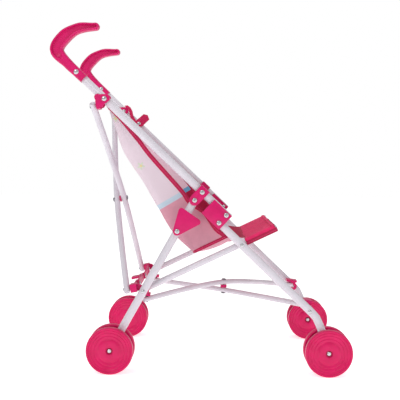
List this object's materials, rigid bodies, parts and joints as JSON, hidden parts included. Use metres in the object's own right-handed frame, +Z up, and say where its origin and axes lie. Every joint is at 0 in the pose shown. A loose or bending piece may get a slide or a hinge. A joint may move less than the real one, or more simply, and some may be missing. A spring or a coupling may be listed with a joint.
{
  "type": "doll stroller",
  "caption": "Toy umbrella stroller for dolls: white tube frame with scissor braces, hooked handles, twin wheels and a fabric sling seat.",
  "frame": {"origin": "on the floor under the middle of the open stroller's bounding box", "axes": "+X forward, the way it is pushed; +Y to its left; +Z up"},
  "size_m": [0.4737, 0.277, 0.5458],
  "materials": {
    "white_paint": "gloss white enamel",
    "pink_plastic": "moulded, glossy",
    "wheel_plastic": "moulded, satin",
    "bright_steel": "nickel plated",
    "sling_fabric": "printed polyester, matt",
    "panel_fabric": "printed polyester, matt",
    "webbing": "woven tape"
  },
  "bodies": {
    "right_rear_frame": {"right_rear_leg": "white_paint", "right_leg_guard": "pink_plastic", "right_elbow_bolt": "bright_steel", "right_leg_pin": "bright_steel"},
    "right_push_frame": {"right_push_tube": "white_paint", "right_handle": "pink_plastic", "right_handle_screw": "bright_steel", "right_elbow_plate": "pink_plastic", "seat_sling": "sling_fabric"},
    "right_front_frame": {"right_front_leg": "white_paint", "right_knee_plate": "pink_plastic", "right_knee_bolt": "bright_steel"},
    "right_strut_frame": {"right_seat_strut": "white_paint", "seat_panel": "panel_fabric"},
    "right_top_bracket_body": {"right_top_bracket": "pink_plastic"},
    "right_rear_bracket_body": {"right_rear_bracket": "pink_plastic"},
    "right_brace_clip_body": {"right_brace_clip": "pink_plastic"},
    "right_front_bracket_body": {"right_front_bracket": "pink_plastic"},
    "right_rear_wheel": {"right_rear_wheel_outer_disc": "wheel_plastic", "right_rear_wheel_inner_disc": "wheel_plastic", "right_rear_wheel_axle": "bright_steel"},
    "right_front_wheel": {"right_front_wheel_outer_disc": "wheel_plastic", "right_front_wheel_inner_disc": "wheel_plastic", "right_front_wheel_axle": "bright_steel"},
    "left_rear_frame": {"left_rear_leg": "white_paint", "left_leg_guard": "pink_plastic", "left_elbow_bolt": "bright_steel", "left_leg_pin": "bright_steel"},
    "left_push_frame": {"left_push_tube": "white_paint", "left_handle": "pink_plastic", "left_handle_screw": "bright_steel", "left_elbow_plate": "pink_plastic", "closure_strap": "webbing", "strap_stud": "bright_steel"},
    "left_front_frame": {"left_front_leg": "white_paint", "left_knee_plate": "pink_plastic", "left_knee_bolt": "bright_steel"},
    "left_strut_frame": {"left_seat_strut": "white_paint"},
    "left_top_bracket_body": {"left_top_bracket": "pink_plastic"},
    "left_rear_bracket_body": {"left_rear_bracket": "pink_plastic"},
    "left_brace_clip_body": {"left_brace_clip": "pink_plastic"},
    "left_front_bracket_body": {"left_front_bracket": "pink_plastic"},
    "left_rear_wheel": {"left_rear_wheel_outer_disc": "wheel_plastic", "left_rear_wheel_inner_disc": "wheel_plastic", "left_rear_wheel_axle": "bright_steel"},
    "left_front_wheel": {"left_front_wheel_outer_disc": "wheel_plastic", "left_front_wheel_inner_disc": "wheel_plastic", "left_front_wheel_axle": "bright_steel"},
    "rear_brace_a": {"rear_brace_tube_a": "white_paint"},
    "rear_brace_b": {"rear_brace_tube_b": "white_paint", "rear_brace_bolt": "bright_steel", "rear_brace_spacer": "pink_plastic"},
    "lower_brace_a": {"lower_brace_tube_a": "white_paint"},
    "lower_brace_b": {"lower_brace_tube_b": "white_paint", "lower_brace_bolt": "bright_steel", "lower_brace_spacer": "pink_plastic"},
    "right_lock_body": {"right_lock_arm": "pink_plastic", "lock_pin": "bright_steel", "lock_pedal": "pink_plastic"},
    "left_lock_body": {"left_lock_arm": "pink_plastic"}
  },
  "joints": [
    {"name": "fold", "type": "hinge", "parent": "right_rear_frame", "child": "right_push_frame", "pos_m": [-0.0111, -0.12, 0.2734], "axis": [0, 1, 0], "range_deg": [0, 64], "deforming": ["seat_sling", "seat_panel"]},
    {"name": "width_slide", "type": "slide", "parent": "right_rear_frame", "child": "left_rear_frame", "axis": [0, -1, 0], "range_m": [0, 0.13451]},
    {"name": "left_push_hinge", "type": "hinge", "parent": "left_rear_frame", "child": "left_push_frame", "pos_m": [-0.0111, 0.12, 0.2734], "axis": [0, 1, 0], "range_deg": [0, 64.05]},
    {"name": "right_knee_hinge", "type": "hinge", "parent": "right_push_frame", "child": "right_front_frame", "pos_m": [0.0381, -0.12, 0.2506], "axis": [0, -1, 0], "range_deg": [0, 150.81]},
    {"name": "right_strut_hinge", "type": "hinge", "parent": "right_rear_frame", "child": "right_strut_frame", "pos_m": [-0.09093, -0.1055, 0.12945], "axis": [0, -1, 0], "range_deg": [0, 15.22]},
    {"name": "right_top_bracket_swivel", "type": "hinge", "parent": "right_push_frame", "child": "right_top_bracket_body", "pos_m": [-0.1518, -0.12, 0.42893], "axis": [0, -1, 0], "range_deg": [0, 27.73]},
    {"name": "right_rear_bracket_swivel", "type": "hinge", "parent": "right_rear_frame", "child": "right_rear_bracket_body", "pos_m": [-0.09093, -0.12, 0.12945], "axis": [0, -1, 0], "range_deg": [-36.37, 0]},
    {"name": "right_brace_clip_swivel", "type": "hinge", "parent": "right_rear_frame", "child": "right_brace_clip_body", "pos_m": [-0.09093, -0.096, 0.12945], "axis": [0, -1, 0], "range_deg": [0, 47.29]},
    {"name": "right_front_bracket_swivel", "type": "hinge", "parent": "right_front_frame", "child": "right_front_bracket_body", "pos_m": [0.1703, -0.105, 0.1009], "axis": [0, -1, 0], "range_deg": [-39.57, 0]},
    {"name": "left_knee_hinge", "type": "hinge", "parent": "left_push_frame", "child": "left_front_frame", "pos_m": [0.0381, 0.12, 0.2506], "axis": [0, -1, 0], "range_deg": [0, 150.81]},
    {"name": "left_strut_hinge", "type": "hinge", "parent": "left_rear_frame", "child": "left_strut_frame", "pos_m": [-0.09093, 0.1055, 0.12945], "axis": [0, -1, 0], "range_deg": [0, 15.22]},
    {"name": "left_top_bracket_swivel", "type": "hinge", "parent": "left_push_frame", "child": "left_top_bracket_body", "pos_m": [-0.1518, 0.12, 0.42893], "axis": [0, -1, 0], "range_deg": [0, 27.73]},
    {"name": "left_rear_bracket_swivel", "type": "hinge", "parent": "left_rear_frame", "child": "left_rear_bracket_body", "pos_m": [-0.09093, 0.12, 0.12945], "axis": [0, -1, 0], "range_deg": [-36.37, 0]},
    {"name": "left_brace_clip_swivel", "type": "hinge", "parent": "left_rear_frame", "child": "left_brace_clip_body", "pos_m": [-0.09093, 0.096, 0.12945], "axis": [0, -1, 0], "range_deg": [0, 47.29]},
    {"name": "left_front_bracket_swivel", "type": "hinge", "parent": "left_front_frame", "child": "left_front_bracket_body", "pos_m": [0.1703, 0.105, 0.1009], "axis": [0, -1, 0], "range_deg": [-39.57, 0]},
    {"name": "rear_brace_swing", "type": "hinge", "parent": "right_rear_bracket_body", "child": "rear_brace_b", "pos_m": [-0.11731, -0.116, 0.13123], "axis": [-0.9832, 0, -0.1823], "range_deg": [-23.37, 0]},
    {"name": "rear_brace_scissor", "type": "hinge", "parent": "rear_brace_b", "child": "rear_brace_a", "pos_m": [-0.14281, 0, 0.26871], "axis": [-0.9832, 0, -0.1823], "range_deg": [0, 46.69]},
    {"name": "lower_brace_swing", "type": "hinge", "parent": "right_front_bracket_body", "child": "lower_brace_b", "pos_m": [0.16238, -0.0925, 0.10579], "axis": [0.0225, 0, 0.9997], "range_deg": [0, 27.15]},
    {"name": "lower_brace_scissor", "type": "hinge", "parent": "lower_brace_b", "child": "lower_brace_a", "pos_m": [0.03721, 0, 0.10861], "axis": [0.0225, 0, 0.9997], "range_deg": [-54.26, 0]},
    {"name": "right_lock_hinge", "type": "hinge", "parent": "right_rear_bracket_body", "child": "right_lock_body", "pos_m": [-0.10281, -0.074, 0.13418], "axis": [-0.98, 0, -0.1992], "range_deg": [-84.78, 0]},
    {"name": "lock_centre_hinge", "type": "hinge", "parent": "right_lock_body", "child": "left_lock_body", "pos_m": [-0.10114, 0, 0.13452], "axis": [-0.98, 0, -0.1992], "range_deg": [0, 169.51]},
    {"name": "right_rear_wheel_spin", "type": "hinge", "parent": "right_rear_frame", "child": "right_rear_wheel", "pos_m": [-0.1422, -0.12, 0.037], "axis": [0, 1, 0], "continuous": true},
    {"name": "right_front_wheel_spin", "type": "hinge", "parent": "right_front_frame", "child": "right_front_wheel", "pos_m": [0.1998, -0.12, 0.037], "axis": [0, 1, 0], "continuous": true},
    {"name": "left_rear_wheel_spin", "type": "hinge", "parent": "left_rear_frame", "child": "left_rear_wheel", "pos_m": [-0.1422, 0.12, 0.037], "axis": [0, 1, 0], "continuous": true},
    {"name": "left_front_wheel_spin", "type": "hinge", "parent": "left_front_frame", "child": "left_front_wheel", "pos_m": [0.1998, 0.12, 0.037], "axis": [0, 1, 0], "continuous": true}
  ],
  "couplings": [
    {"joint": "width_slide", "follows": "fold", "m_per_rad": 0.12033},
    {"joint": "left_push_hinge", "follows": "fold", "ratio": 1},
    {"joint": "right_knee_hinge", "follows": "fold", "ratio": 2.3556},
    {"joint": "right_strut_hinge", "follows": "fold", "ratio": 0.23702},
    {"joint": "right_top_bracket_swivel", "follows": "fold", "ratio": 0.43254},
    {"joint": "right_rear_bracket_swivel", "follows": "fold", "ratio": -0.56746},
    {"joint": "right_brace_clip_swivel", "follows": "fold", "ratio": 0.73809},
    {"joint": "right_front_bracket_swivel", "follows": "fold", "ratio": -0.61748},
    {"joint": "left_knee_hinge", "follows": "fold", "ratio": 2.3556},
    {"joint": "left_strut_hinge", "follows": "fold", "ratio": 0.23702},
    {"joint": "left_top_bracket_swivel", "follows": "fold", "ratio": 0.43254},
    {"joint": "left_rear_bracket_swivel", "follows": "fold", "ratio": -0.56746},
    {"joint": "left_brace_clip_swivel", "follows": "fold", "ratio": 0.73809},
    {"joint": "left_front_bracket_swivel", "follows": "fold", "ratio": -0.61748},
    {"joint": "rear_brace_swing", "follows": "fold", "ratio": -0.3644},
    {"joint": "rear_brace_scissor", "follows": "fold", "ratio": 0.72879},
    {"joint": "lower_brace_swing", "follows": "fold", "ratio": 0.42351},
    {"joint": "lower_brace_scissor", "follows": "fold", "ratio": -0.84701},
    {"joint": "right_lock_hinge", "follows": "fold", "ratio": -1.3239},
    {"joint": "lock_centre_hinge", "follows": "fold", "ratio": 2.6479}
  ]
}
